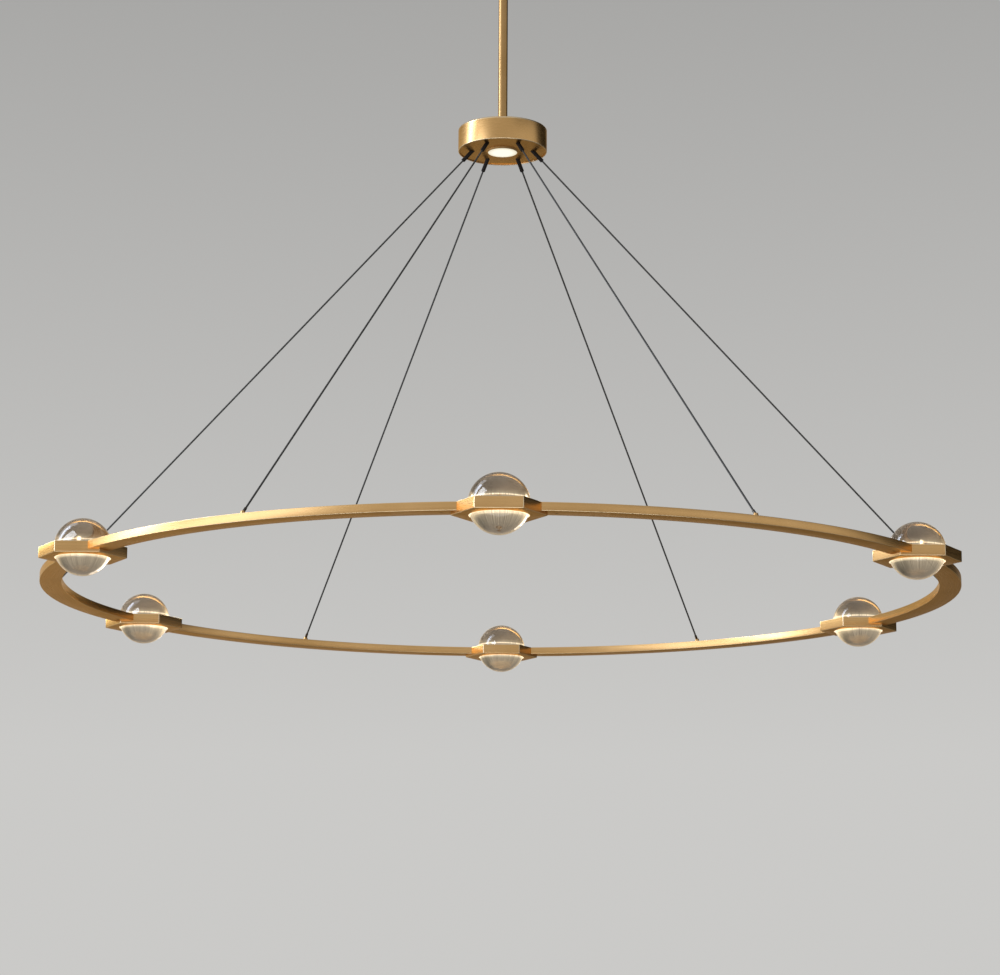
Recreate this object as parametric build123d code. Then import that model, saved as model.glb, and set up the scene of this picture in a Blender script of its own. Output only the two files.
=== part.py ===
from build123d import *
import os
from math import cos, degrees, radians, sin, sqrt

# Ring chandelier: a stem and hub carry six cables, a brass ring and six lit crystal balls.
# Millimetres. The origin is the middle of the ceiling plate, on the ceiling. +Z is up.

# Ring and its lights
LIGHT_COUNT = 6
FIRST_LIGHT_ANGLE = -90.0
RING_RADIUS = 744.0
RING_DROP = 761.0
BAR_WIDTH = 36.0
BAR_HEIGHT = 12.7
BAR_WALL = 2.0
BAR_EDGE = 0.5
SPIGOT_LENGTH = 26.0
SPIGOT_WIRE_BORE = 4.0
GRUB_DIAMETER = 4.0
GRUB_INSET = 13.0
GRUB_BITE = 3.0

# Hexagonal frame round each ball
BALL_DIAMETER = 90.0
HEX_WALL = 6.7
HEX_DROP = 4.6
HEX_EDGE = 0.6
LIP_HEIGHT = 3.0
LED_SPACE = 5.0
SEAT_SKIRT = 0.8
SEAT_FLANGE = 3.5
LED_STRIP = 1.5
LED_BAND = 6.0
DIFFUSER_LEDGE = 3.0
DIFFUSER_HEIGHT = 2.5
BALL_GAP = 0.3

# Cables and their fittings
CABLE_DIAMETER = 3.0
CABLE_EXIT_RADIUS = 52.5
SLEEVE_DIAMETER = 6.8
SLEEVE_LENGTH = 24.0
ANCHOR_DIAMETER = 12.5
ANCHOR_RISE = 14.0
STOP_DIAMETER = 8.0
STOP_LENGTH = 6.0
CABLE_TAIL = 1.0
BOSS_BASE = 10.0
BOSS_TOP = 6.2
BOSS_HEIGHT = 6.7
BOSS_SPIGOT = 6.0
BOSS_NUT = 10.0
BOSS_NUT_HEIGHT = 3.0
FERRULE_DIAMETER = 4.4
FERRULE_LENGTH = 10.0
FERRULE_SEAT = 2.2

# Hub and downlight
HUB_DIAMETER = 153.0
HUB_HEIGHT = 40.0
HUB_WALL = 2.5
HUB_TOP = 4.0
HUB_TOP_FILLET = 3.0
HUB_RIM_FILLET = 1.2
PLATE_RECESS = 1.5
PLATE_THICKNESS = 4.0
POST_DIAMETER = 10.0
POST_COUNT = 3
POST_MARGIN = 4.0
PLATE_SCREW = 4.0
PLATE_SCREW_HEAD = 8.0
PLATE_SCREW_BITE = 10.0
LENS_DIAMETER = 50.0
LENS_PROUD = 3.5
LENS_DOME = 0.8
LENS_FLANGE = 3.0
LENS_FLANGE_HEIGHT = 2.0
HEAT_SINK_FLANGE = 6.0
HEAT_SINK_FLANGE_HEIGHT = 3.0
HEAT_SINK_FLOOR = 3.0
HEAT_SINK_GAP = 2.0
HEAT_SINK_RIM = 2.0
FIN_COUNT = 3
FIN_DEPTH = 6.0
BOARD_THICKNESS = 1.6
BOARD_HEADROOM = 4.0
SMALL_SCREW = 3.0
SMALL_SCREW_HEAD = 5.0
SMALL_SCREW_HEAD_HEIGHT = 2.0
SMALL_SCREW_BITE = 3.0

# Stem
STEM_DIAMETER = 16.0
STEM_WALL = 1.5
STEM_LENGTH = 305.0
NIPPLE_WALL = 2.2
NIPPLE_GRIP = 15.0
LOCK_NUT = 22.0
LOCK_NUT_HEIGHT = 6.0
THREAD_TAIL = 2.0

# Canopy and ceiling strap
CANOPY_DIAMETER = 152.0
CANOPY_HEIGHT = 30.0
CANOPY_WALL = 2.0
CANOPY_FILLET = 8.0
STRAP_LENGTH = 116.0
STRAP_WIDTH = 24.0
STRAP_THICKNESS = 3.0
STRAP_WIRE_HOLE = 14.0
BOX_SCREW_SPACING = 89.0
BOX_SLOT_LENGTH = 12.0
BOX_SLOT_WIDTH = 4.6
STUD_SPACING = 60.0
STUD_DIAMETER = 4.0
CAP_NUT_DIAMETER = 9.0
CAP_NUT_HEIGHT = 8.0
CAP_NUT_CROWN = 3.0
STUD_TAIL = 5.0
DRIVER_LENGTH = 52.0
DRIVER_WIDTH = 24.0
DRIVER_HEIGHT = 16.0
DRIVER_CORNER = 3.0
DRIVER_GAP = 3.0

# Swivel under the canopy
SOCKET_DIAMETER = 34.0
SOCKET_HEIGHT = 10.0
SOCKET_CHAMFER = 2.0
NECK_WALL = 3.0
NECK_TAIL = 2.0
SOCKET_NUT = 26.0
SOCKET_NUT_HEIGHT = 6.0
WASHER_THICKNESS = 1.5
SPINDLE_DIAMETER = 10.0
SPINDLE_BORE = 5.0
SPINDLE_NUT = 18.0
SPINDLE_NUT_HEIGHT = 6.0
FORK_BASE_DIAMETER = 30.0
FORK_BASE_HEIGHT = 8.0
CHEEK_THICKNESS = 6.0
CHEEK_WIDTH = 20.0
CHEEK_DROP = 5.0
PIN_DROP = 16.0
PIN_DIAMETER = 5.0
PIN_HEAD = 8.0
PIN_HEAD_HEIGHT = 2.0
PIN_NUT_HEIGHT = 5.0
TONGUE_THICKNESS = 8.0
TONGUE_RADIUS = 9.0
TILT_STOP = 50.0
EYE_COLLAR = 22.0
EYE_COLLAR_HEIGHT = 10.0
EYE_GRIP = 15.0
EYE_WIRE_BORE = 2.8
STOP_PIN = 3.0
STOP_PIN_REACH = 2.0
STOP_GROOVE_DEPTH = 2.6
STOP_WEB_ANGLE = 15.0

# Clearances
SCREW_FIT = 0.05
BUTT_GAP = 0.05
SPIGOT_FIT = 0.1
RUNNING_FIT = 0.05
SIDE_GAP = 0.3
GROOVE_GAP = 0.3
OVERRUN = 1.0

BASE = (Align.CENTER, Align.CENTER, Align.MIN)
HANG = (Align.CENTER, Align.CENTER, Align.MAX)

# Heights from the ceiling down
canopy_floor = -CANOPY_HEIGHT + CANOPY_WALL
socket_bottom = -CANOPY_HEIGHT - SOCKET_HEIGHT
neck_top = canopy_floor + SOCKET_NUT_HEIGHT + NECK_TAIL
washer_top = neck_top + WASHER_THICKNESS
fork_top = socket_bottom - SIDE_GAP
fork_base_bottom = fork_top - FORK_BASE_HEIGHT
pin_z = fork_base_bottom - PIN_DROP
collar_gap = CHEEK_DROP * cos(radians(TILT_STOP)) + CHEEK_WIDTH / 2 * sin(radians(TILT_STOP))
collar_top = pin_z - collar_gap
stem_top = collar_top - EYE_COLLAR_HEIGHT
hub_top = stem_top - STEM_LENGTH
hub_bottom = hub_top - HUB_HEIGHT
hub_ceiling = hub_top - HUB_TOP
plate_bottom = hub_bottom + PLATE_RECESS
plate_top = plate_bottom + PLATE_THICKNESS
ball_z = hub_bottom - RING_DROP

# Radii that several pieces share
ball_radius = BALL_DIAMETER / 2
channel_radius = ball_radius + LED_SPACE
ledge_radius = channel_radius + DIFFUSER_LEDGE
hex_half_flat = ledge_radius + HEX_WALL
hex_side = hex_half_flat * 2 / sqrt(3)
hex_height = BAR_HEIGHT + HEX_DROP
lip_top = LIP_HEIGHT - hex_height
lip_radius = sqrt(ball_radius**2 - lip_top**2) + SEAT_SKIRT
hub_bore = HUB_DIAMETER / 2 - HUB_WALL
post_circle = hub_bore - POST_DIAMETER / 2 - POST_MARGIN
lens_flange_radius = LENS_DIAMETER / 2 + LENS_FLANGE
heat_sink_radius = lens_flange_radius + HEAT_SINK_RIM
stem_bore = STEM_DIAMETER / 2 - STEM_WALL
neck_radius = SPINDLE_DIAMETER / 2 + NECK_WALL
fork_slot = TONGUE_THICKNESS + 2 * SIDE_GAP
fork_width = fork_slot + 2 * CHEEK_THICKNESS
stop_circle = (SPINDLE_DIAMETER / 2 + FORK_BASE_DIAMETER / 2) / 2

# The cable line in the plane of angle 0, from the hub plate down to the boss on the ring
step = 360.0 / LIGHT_COUNT
exit_point = Vector(CABLE_EXIT_RADIUS, 0, plate_bottom)
ring_point = Vector(RING_RADIUS, 0, ball_z + BOSS_HEIGHT - FERRULE_SEAT)
cable_run = (exit_point - ring_point).length
cable_up = (exit_point - ring_point).normalized()
at_exit = Plane(origin=exit_point, x_dir=(0, 1, 0), z_dir=cable_up)
at_ring = Plane(origin=ring_point, x_dir=(0, 1, 0), z_dir=cable_up)


def rod(radius, bottom, top):
    """Upright round bar on the Z axis."""
    return Pos(0, 0, bottom) * Cylinder(radius, top - bottom, align=BASE)


def ring(outer, inner, bottom, top):
    """Upright tube on the Z axis."""
    return rod(outer, bottom, top) - rod(inner, bottom, top)


def nut(across_flats, bore, bottom, top):
    """Hexagon nut on the Z axis, without its thread."""
    flats = RegularPolygon(across_flats / 2, 6, major_radius=False)
    return Pos(0, 0, bottom) * extrude(flats, top - bottom) - rod(bore, bottom, top)


def around(shape, first_angle, count):
    """Equal copies of a shape about the Z axis."""
    return [Rot(0, 0, first_angle + 360.0 / count * i) * shape for i in range(count)]


def light_angles():
    return [FIRST_LIGHT_ANGLE + step * i for i in range(LIGHT_COUNT)]


def bar_angles():
    return [FIRST_LIGHT_ANGLE + step * (i + 0.5) for i in range(LIGHT_COUNT)]


def save(name, shapes):
    shapes = shapes if isinstance(shapes, list) else [shapes]
    solids = [solid for shape in shapes for solid in shape.solids()]
    whole = solids[0] if len(solids) == 1 else Compound(solids)
    export_step(whole, f"parts/{name}.step")


def bar_section(shrink):
    """The bar's edged rectangle at angle 0, drawn in on every side."""
    middle = ball_z - BAR_HEIGHT / 2
    outline = Rectangle(BAR_WIDTH - 2 * shrink, BAR_HEIGHT - 2 * shrink)
    outline = chamfer(outline.vertices(), BAR_EDGE)
    return Plane.XZ * Pos(RING_RADIUS, middle) * outline


def bar_sweep(shrink, half_angle):
    """The bar's section turned about the ring's axis, to both sides of angle 0."""
    swept = revolve(bar_section(shrink), Axis.Z, revolution_arc=2 * half_angle)
    return Rot(0, 0, -half_angle) * swept


def hex_prism(grow):
    """The frame's plain hexagon at angle 0, with two corners on the line of the ring."""
    flats = RegularPolygon(hex_half_flat + grow, 6, major_radius=False, rotation=30)
    return Pos(RING_RADIUS, 0, ball_z) * extrude(flats, -hex_height)


def spigot_angle():
    return degrees((hex_side + SPIGOT_LENGTH) / RING_RADIUS)


def grub_angle():
    return degrees((hex_side + GRUB_INSET) / RING_RADIUS)


def at_ball(shape):
    """Moves a shape made about the ball's own axis to the light at angle 0."""
    return Pos(RING_RADIUS, 0, ball_z) * shape


def grub_hole():
    """Tapped hole of one grub screw at angle 0, through the bar's floor into the spigot."""
    floor = ball_z - BAR_HEIGHT
    reach = BAR_WALL + SPIGOT_FIT + GRUB_BITE
    return Pos(RING_RADIUS, 0, 0) * rod(GRUB_DIAMETER / 2 + SCREW_FIT, floor, floor + reach)


def hex_frame():
    """Hexagonal frame: stepped bore for seat, LEDs and diffuser, and an arc spigot each side."""
    prism = hex_prism(0)
    rims = prism.faces().sort_by(Axis.Z)
    prism = chamfer([*rims[0].edges(), *rims[-1].edges()], HEX_EDGE)
    body = prism + bar_sweep(BAR_WALL + SPIGOT_FIT, spigot_angle())
    body -= at_ball(rod(ledge_radius, -DIFFUSER_HEIGHT, OVERRUN))
    body -= at_ball(rod(channel_radius, lip_top, OVERRUN))
    body -= at_ball(rod(lip_radius, -hex_height - OVERRUN, OVERRUN))
    wire = Cylinder(SPIGOT_WIRE_BORE / 2, hex_side + 2 * SPIGOT_LENGTH, align=BASE)
    for side in (-90, 90):
        body -= at_ball(Pos(0, 0, -BAR_HEIGHT / 2) * Rot(side, 0, 0) * wire)
    for side in (-1, 1):
        body -= Rot(0, 0, side * grub_angle()) * grub_hole()
    return body


def crystal_ball():
    return at_ball(Sphere(ball_radius))


def seat_ring():
    """Clear silicone seat: a flange on the frame's lip and a skirt down through it."""
    flange = ring(channel_radius - SCREW_FIT, lip_radius - SEAT_SKIRT * 2, lip_top, lip_top + SEAT_FLANGE)
    skirt = rod(lip_radius - SCREW_FIT, -hex_height, lip_top)
    return at_ball(flange + skirt - Sphere(ball_radius + SCREW_FIT))


def led_ring():
    """Strip of LEDs on the wall of the channel, standing on the seat."""
    bottom = lip_top + SEAT_FLANGE
    outer = channel_radius - SCREW_FIT
    return at_ball(ring(outer, outer - LED_STRIP, bottom, bottom + LED_BAND))


def diffuser_ring():
    """Clear cover of the LED channel, round the waist of the ball."""
    cover = ring(ledge_radius - SCREW_FIT, ball_radius + BALL_GAP, -DIFFUSER_HEIGHT, 0)
    return at_ball(cover)


def arc_bar():
    """Curved rectangular tube, notched at both ends to the corner of the frames."""
    tube = bar_sweep(0, step / 2) - bar_sweep(BAR_WALL, step / 2)
    for side in (-1, 1):
        tube -= Rot(0, 0, side * step / 2) * hex_prism(BUTT_GAP)
        tube -= Rot(0, 0, side * (step / 2 - grub_angle())) * grub_hole()
    boss_hole = rod(BOSS_SPIGOT / 2 + SCREW_FIT, ball_z - BAR_WALL - OVERRUN, ball_z + OVERRUN)
    return tube - Pos(RING_RADIUS, 0, 0) * boss_hole


def grub_screws():
    floor = ball_z - BAR_HEIGHT
    length = BAR_WALL + SPIGOT_FIT + GRUB_BITE
    screw = Pos(RING_RADIUS, 0, 0) * rod(GRUB_DIAMETER / 2, floor, floor + length)
    offsets = [angle + side * grub_angle() for angle in light_angles() for side in (-1, 1)]
    return [Rot(0, 0, offset) * screw for offset in offsets]


def cable_boss():
    """Coned brass boss on the bar, with a slanted socket for the ferrule."""
    cone = Pos(0, 0, ball_z) * Cone(BOSS_BASE / 2, BOSS_TOP / 2, BOSS_HEIGHT, align=BASE)
    spigot_bottom = ball_z - BAR_WALL - BOSS_NUT_HEIGHT - SCREW_FIT
    boss = Pos(RING_RADIUS, 0, 0) * (cone + rod(BOSS_SPIGOT / 2, spigot_bottom, ball_z))
    socket = at_ring * Cylinder(FERRULE_DIAMETER / 2 + SCREW_FIT, FERRULE_LENGTH, align=BASE)
    return boss - socket


def boss_nut():
    top = ball_z - BAR_WALL
    plain = nut(BOSS_NUT, BOSS_SPIGOT / 2 + SCREW_FIT, top - BOSS_NUT_HEIGHT, top)
    return Pos(RING_RADIUS, 0, 0) * plain


def cable_hole(length):
    return Cylinder(CABLE_DIAMETER / 2 + SCREW_FIT, length, align=BASE)


def cable_ferrule():
    shell = Cylinder(FERRULE_DIAMETER / 2, FERRULE_LENGTH, align=BASE)
    return at_ring * (shell - cable_hole(FERRULE_LENGTH))


def cable_sleeve():
    """Black sleeve that guides the cable through the hub plate."""
    length = ANCHOR_RISE + SLEEVE_LENGTH
    shell = Cylinder(SLEEVE_DIAMETER / 2, length, align=BASE) - cable_hole(length)
    return at_exit * Pos(0, 0, -SLEEVE_LENGTH) * shell


def cable_stop():
    """Crimped stop that carries the cable on its anchor inside the hub."""
    shell = Cylinder(STOP_DIAMETER / 2, STOP_LENGTH, align=BASE) - cable_hole(STOP_LENGTH)
    return at_exit * Pos(0, 0, ANCHOR_RISE) * shell


def cable():
    """Taut cable from its end above the stop to the bottom of the ferrule."""
    length = cable_run + ANCHOR_RISE + STOP_LENGTH + CABLE_TAIL
    return at_ring * Cylinder(CABLE_DIAMETER / 2, length, align=BASE)


def hub_housing():
    """Brass drum, open below, with the stem's hole in its top."""
    drum = rod(HUB_DIAMETER / 2, hub_bottom, hub_top)
    rims = drum.edges().filter_by(GeomType.CIRCLE).sort_by(Axis.Z)
    drum = fillet(rims[-1], HUB_TOP_FILLET)
    rims = drum.edges().filter_by(GeomType.CIRCLE).sort_by(Axis.Z)
    drum = fillet(rims[0], HUB_RIM_FILLET)
    drum -= rod(hub_bore, hub_bottom - OVERRUN, hub_ceiling)
    return drum - rod(stem_bore, hub_ceiling - OVERRUN, hub_top + OVERRUN)


def hub_posts():
    post = Pos(post_circle, 0, 0) * rod(POST_DIAMETER / 2, plate_top, hub_ceiling)
    hole = rod(PLATE_SCREW / 2 + SCREW_FIT, plate_top, plate_top + PLATE_SCREW_BITE)
    return around(post - Pos(post_circle, 0, 0) * hole, step / 2, POST_COUNT)


def plate_screw(grow):
    """Countersunk screw from the plate's underside into a post, or its hole when grown."""
    sink = (PLATE_SCREW_HEAD - PLATE_SCREW) / 2
    top = plate_top + PLATE_SCREW_BITE
    head = Cone(PLATE_SCREW_HEAD / 2 + grow, PLATE_SCREW / 2 + grow, sink, align=BASE)
    screw = rod(PLATE_SCREW / 2 + grow, plate_bottom, top) + Pos(0, 0, plate_bottom) * head
    return Pos(post_circle, 0, 0) * screw


def small_screw(grow):
    """Pan-head screw of the heat sink, or its hole when grown."""
    seat = plate_top + HEAT_SINK_FLANGE_HEIGHT
    shank = rod(SMALL_SCREW / 2 + grow, plate_top - SMALL_SCREW_BITE, seat)
    circle = heat_sink_radius + HEAT_SINK_FLANGE / 2
    head = rod(SMALL_SCREW_HEAD / 2, seat, seat + SMALL_SCREW_HEAD_HEIGHT)
    return Pos(circle, 0, 0) * (shank + head)


def hub_base_plate():
    """Plate under the hub with a slanted anchor for each cable and a seat for the lens."""
    plate = rod(hub_bore - SPIGOT_FIT, plate_bottom, plate_top)
    anchor_room = rod(hub_bore - SPIGOT_FIT, plate_bottom, hub_ceiling)
    post = Cylinder(ANCHOR_DIAMETER / 2, ANCHOR_RISE + ANCHOR_DIAMETER, align=HANG)
    anchor = at_exit * Pos(0, 0, ANCHOR_RISE) * post
    for boss in around(anchor & anchor_room, 0, LIGHT_COUNT):
        plate += boss
    sleeve_bore = Cylinder(SLEEVE_DIAMETER / 2 + SCREW_FIT, ANCHOR_RISE + 2 * SLEEVE_LENGTH, align=BASE)
    for hole in around(at_exit * Pos(0, 0, -SLEEVE_LENGTH) * sleeve_bore, 0, LIGHT_COUNT):
        plate -= hole
    plate -= rod(LENS_DIAMETER / 2 + SPIGOT_FIT, plate_bottom - OVERRUN, plate_top)
    plate -= rod(lens_flange_radius + SPIGOT_FIT, plate_top - LENS_FLANGE_HEIGHT, plate_top)
    for hole in around(plate_screw(SCREW_FIT), step / 2, POST_COUNT):
        plate -= hole
    for hole in around(small_screw(SCREW_FIT), step / 2, POST_COUNT):
        plate -= hole
    return plate


def downlight_lens():
    """Frosted lens with a flange that rests in the plate and a slightly domed face."""
    edge = LENS_DIAMETER / 2
    face = plate_bottom - LENS_PROUD
    step_z = plate_top - LENS_FLANGE_HEIGHT
    dome = ThreePointArc((0, face), (edge / 2, face + LENS_DOME / 4), (edge, face + LENS_DOME))
    sides = Polyline(
        (edge, face + LENS_DOME),
        (edge, step_z),
        (lens_flange_radius, step_z),
        (lens_flange_radius, plate_top),
        (0, plate_top),
        (0, face),
    )
    return revolve(Plane.XZ * make_face(dome + sides), Axis.Z)


def heat_sink():
    """Turned aluminium heat sink with a flange, fins and a recess for the LED board."""
    top = hub_ceiling - LOCK_NUT_HEIGHT - THREAD_TAIL - HEAT_SINK_GAP
    recess_top = plate_top + BOARD_HEADROOM + BOARD_THICKNESS
    fins_bottom = recess_top + HEAT_SINK_FLOOR
    sink = rod(heat_sink_radius, plate_top, top)
    flange_radius = heat_sink_radius + HEAT_SINK_FLANGE
    flange_top = plate_top + HEAT_SINK_FLANGE_HEIGHT
    sink += rod(flange_radius, plate_top, flange_top)
    pitch = (top - fins_bottom) / (2 * FIN_COUNT)
    for i in range(FIN_COUNT):
        low = fins_bottom + pitch * 2 * i
        sink -= ring(heat_sink_radius, heat_sink_radius - FIN_DEPTH, low, low + pitch)
    sink -= rod(LENS_DIAMETER / 2, plate_top, recess_top)
    for hole in around(small_screw(SCREW_FIT), step / 2, POST_COUNT):
        sink -= hole
    return sink


def downlight_board():
    bottom = plate_top + BOARD_HEADROOM
    return rod(LENS_DIAMETER / 2 - SPIGOT_FIT, bottom, bottom + BOARD_THICKNESS)


def stem():
    return ring(STEM_DIAMETER / 2, stem_bore, hub_top, stem_top)


def stem_nipple():
    """Hollow threaded pipe that joins the stem to the hub."""
    outer = stem_bore - SCREW_FIT
    bottom = hub_ceiling - LOCK_NUT_HEIGHT - THREAD_TAIL
    return ring(outer, outer - NIPPLE_WALL, bottom, hub_top + NIPPLE_GRIP)


def stem_lock_nut():
    return nut(LOCK_NUT, stem_bore, hub_ceiling - LOCK_NUT_HEIGHT, hub_ceiling)


def eye_tongue():
    """Side view of the tongue: round about the pin, straight down into the collar."""
    height = collar_gap + EYE_COLLAR_HEIGHT / 2
    outline = Circle(TONGUE_RADIUS) + Pos(0, -height / 2) * Rectangle(2 * TONGUE_RADIUS, height)
    flat = Plane.YZ * outline
    return Pos(0, 0, pin_z) * extrude(flat, TONGUE_THICKNESS / 2, both=True)


def stem_eye():
    """Turned eye on top of the stem: tongue, collar, threaded spigot and two wire holes."""
    spigot = stem_bore - SCREW_FIT
    eye = eye_tongue() + rod(EYE_COLLAR / 2, stem_top, collar_top)
    eye += rod(spigot, stem_top - EYE_GRIP, stem_top)
    eye -= across_pin(PIN_DIAMETER / 2 + RUNNING_FIT, -TONGUE_THICKNESS, TONGUE_THICKNESS)
    wire_offset = (PIN_DIAMETER / 2 + spigot) / 2
    wire = rod(EYE_WIRE_BORE / 2, stem_top - EYE_GRIP, pin_z + TONGUE_RADIUS)
    for side in (-1, 1):
        eye -= Pos(0, side * wire_offset, 0) * wire
    return eye


def across_pin(radius, left, right):
    """Round bar on the knuckle pin's axis, which runs along X."""
    bar = Cylinder(radius, right - left, align=BASE)
    return Pos(left, 0, pin_z) * Rot(0, 90, 0) * bar


def knuckle_fork():
    """Fork with a hollow spindle above, a stop groove in its top and two cheeks below."""
    fork = rod(FORK_BASE_DIAMETER / 2, fork_base_bottom, fork_top)
    fork += rod(SPINDLE_DIAMETER / 2, fork_top, spindle_top())
    depth = PIN_DROP + CHEEK_DROP
    block = Pos(0, 0, fork_base_bottom) * Box(fork_width, CHEEK_WIDTH, depth, align=HANG)
    slot = Pos(0, 0, fork_base_bottom) * Box(fork_slot, CHEEK_WIDTH, depth, align=HANG)
    fork += block - slot
    fork -= rod(SPINDLE_BORE / 2, fork_base_bottom, spindle_top())
    fork -= across_pin(PIN_DIAMETER / 2 + SCREW_FIT, -fork_width, fork_width)
    return fork - stop_groove()


def stop_groove():
    """Groove round the fork's top, broken by a web that meets the stop pin."""
    width = STOP_PIN + 2 * GROOVE_GAP
    section = Pos(stop_circle, fork_top - STOP_GROOVE_DEPTH / 2) * Rectangle(width, STOP_GROOVE_DEPTH)
    sweep = revolve(Plane.XZ * section, Axis.Z, revolution_arc=360 - STOP_WEB_ANGLE)
    return Rot(0, 0, -180 + STOP_WEB_ANGLE / 2) * sweep


def stop_pin():
    pin = rod(STOP_PIN / 2, socket_bottom - STOP_PIN_REACH, socket_bottom + STOP_PIN)
    return Pos(stop_circle, 0, 0) * pin


def spindle_top():
    return washer_top + RUNNING_FIT + SPINDLE_NUT_HEIGHT


def spindle_nut():
    bottom = washer_top + RUNNING_FIT
    return ring(SPINDLE_NUT / 2, SPINDLE_DIAMETER / 2 + SCREW_FIT, bottom, spindle_top())


def knuckle_pin():
    """Headed pin on the X axis, with a threaded end for its nut."""
    half = fork_width / 2
    head = across_pin(PIN_HEAD / 2, -half - PIN_HEAD_HEIGHT, -half)
    return head + across_pin(PIN_DIAMETER / 2, -half, half + PIN_NUT_HEIGHT - PIN_HEAD_HEIGHT)


def pin_nut():
    half = fork_width / 2
    cap = across_pin(PIN_HEAD / 2, half, half + PIN_NUT_HEIGHT)
    return cap - across_pin(PIN_DIAMETER / 2 + SCREW_FIT, half, half + PIN_NUT_HEIGHT - PIN_HEAD_HEIGHT)


def swivel_socket():
    """Flanged socket under the canopy, bored for the spindle, with a threaded neck."""
    flange = rod(SOCKET_DIAMETER / 2, socket_bottom, -CANOPY_HEIGHT)
    flange = chamfer(flange.edges().filter_by(GeomType.CIRCLE).sort_by(Axis.Z)[0], SOCKET_CHAMFER)
    socket = flange + rod(neck_radius, -CANOPY_HEIGHT, neck_top)
    socket -= rod(SPINDLE_DIAMETER / 2 + RUNNING_FIT, socket_bottom, neck_top)
    hole = rod(STOP_PIN / 2 + SCREW_FIT, socket_bottom, socket_bottom + STOP_PIN)
    return socket - Pos(stop_circle, 0, 0) * hole


def socket_nut():
    bore = neck_radius + SCREW_FIT
    return nut(SOCKET_NUT, bore, canopy_floor, canopy_floor + SOCKET_NUT_HEIGHT)


def thrust_washer():
    bore = SPINDLE_DIAMETER / 2 + RUNNING_FIT
    return ring(SPINDLE_NUT / 2, bore, neck_top, washer_top)


def canopy():
    """Spun brass cup, open to the ceiling, with its lower edge rounded."""
    cup = rod(CANOPY_DIAMETER / 2, -CANOPY_HEIGHT, 0)
    cup = fillet(cup.edges().filter_by(GeomType.CIRCLE).sort_by(Axis.Z)[0], CANOPY_FILLET)
    room = rod(CANOPY_DIAMETER / 2 - CANOPY_WALL, canopy_floor, OVERRUN)
    inner_edge = room.edges().filter_by(GeomType.CIRCLE).sort_by(Axis.Z)[0]
    cup -= fillet(inner_edge, CANOPY_FILLET - CANOPY_WALL)
    cup -= rod(neck_radius + SCREW_FIT, -CANOPY_HEIGHT - OVERRUN, 0)
    for place in stud_places():
        cup -= place * rod(STUD_DIAMETER / 2 + SCREW_FIT, -CANOPY_HEIGHT - OVERRUN, 0)
    return cup


def stud_places():
    return [Pos(side * STUD_SPACING / 2, 0, 0) for side in (-1, 1)]


def mounting_strap():
    """Flat steel strap with two slots for the ceiling box and tapped holes for the studs."""
    flat = SlotOverall(STRAP_LENGTH, STRAP_WIDTH) - Circle(STRAP_WIRE_HOLE / 2)
    for side in (-1, 1):
        flat -= Pos(side * BOX_SCREW_SPACING / 2, 0) * SlotOverall(BOX_SLOT_LENGTH, BOX_SLOT_WIDTH)
        flat -= Pos(side * STUD_SPACING / 2, 0) * Circle(STUD_DIAMETER / 2 + SCREW_FIT)
    return extrude(flat, -STRAP_THICKNESS)


def canopy_studs():
    stud = rod(STUD_DIAMETER / 2, -CANOPY_HEIGHT - STUD_TAIL, 0)
    return [place * stud for place in stud_places()]


def canopy_cap_nuts():
    """Round-ended nuts that hold the canopy up on its studs."""
    cap = rod(CAP_NUT_DIAMETER / 2, -CANOPY_HEIGHT - CAP_NUT_HEIGHT, -CANOPY_HEIGHT)
    crown = cap.edges().filter_by(GeomType.CIRCLE).sort_by(Axis.Z)[0]
    cap = fillet(crown, CAP_NUT_CROWN)
    cap -= rod(STUD_DIAMETER / 2 + SCREW_FIT, -CANOPY_HEIGHT - STUD_TAIL, -CANOPY_HEIGHT)
    return [place * cap for place in stud_places()]


def led_driver():
    """Closed driver box on the canopy's floor, beside the swivel's nut."""
    plan = RectangleRounded(DRIVER_LENGTH, DRIVER_WIDTH, DRIVER_CORNER)
    side = SOCKET_NUT / sqrt(3) + DRIVER_GAP + DRIVER_WIDTH / 2
    return Pos(0, side, canopy_floor) * extrude(plan, DRIVER_HEIGHT)


def main():
    os.makedirs("parts", exist_ok=True)
    single = (mounting_strap, canopy, canopy_studs, canopy_cap_nuts, led_driver)
    single += (swivel_socket, socket_nut, thrust_washer, stop_pin)
    single += (knuckle_fork, spindle_nut, knuckle_pin, pin_nut)
    single += (stem_eye, stem, stem_nipple, stem_lock_nut)
    single += (hub_housing, hub_posts, hub_base_plate, downlight_lens, downlight_board)
    for make in single:
        save(make.__name__, make())
    save("downlight_heat_sink", heat_sink())
    save("base_plate_screws", around(plate_screw(0), step / 2, POST_COUNT))
    save("heat_sink_screws", around(small_screw(0), step / 2, POST_COUNT))
    save("bar_grub_screws", grub_screws())

    at_lights = (("hex_frame", hex_frame()), ("crystal_ball", crystal_ball()))
    at_bars = (("arc_bar", arc_bar()), ("cable", cable()))
    for angles, pieces in ((light_angles(), at_lights), (bar_angles(), at_bars)):
        for name, piece in pieces:
            for number, angle in enumerate(angles, 1):
                save(f"{name}_{number}", Rot(0, 0, angle) * piece)

    light_sets = (("seat_rings", seat_ring), ("led_rings", led_ring), ("diffuser_rings", diffuser_ring))
    for name, make in light_sets:
        save(name, around(make(), FIRST_LIGHT_ANGLE, LIGHT_COUNT))
    cable_sets = (("cable_bosses", cable_boss), ("boss_nuts", boss_nut), ("cable_ferrules", cable_ferrule))
    cable_sets += (("cable_sleeves", cable_sleeve), ("cable_stops", cable_stop))
    for name, make in cable_sets:
        save(name, around(make(), FIRST_LIGHT_ANGLE + step / 2, LIGHT_COUNT))


main()
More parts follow.
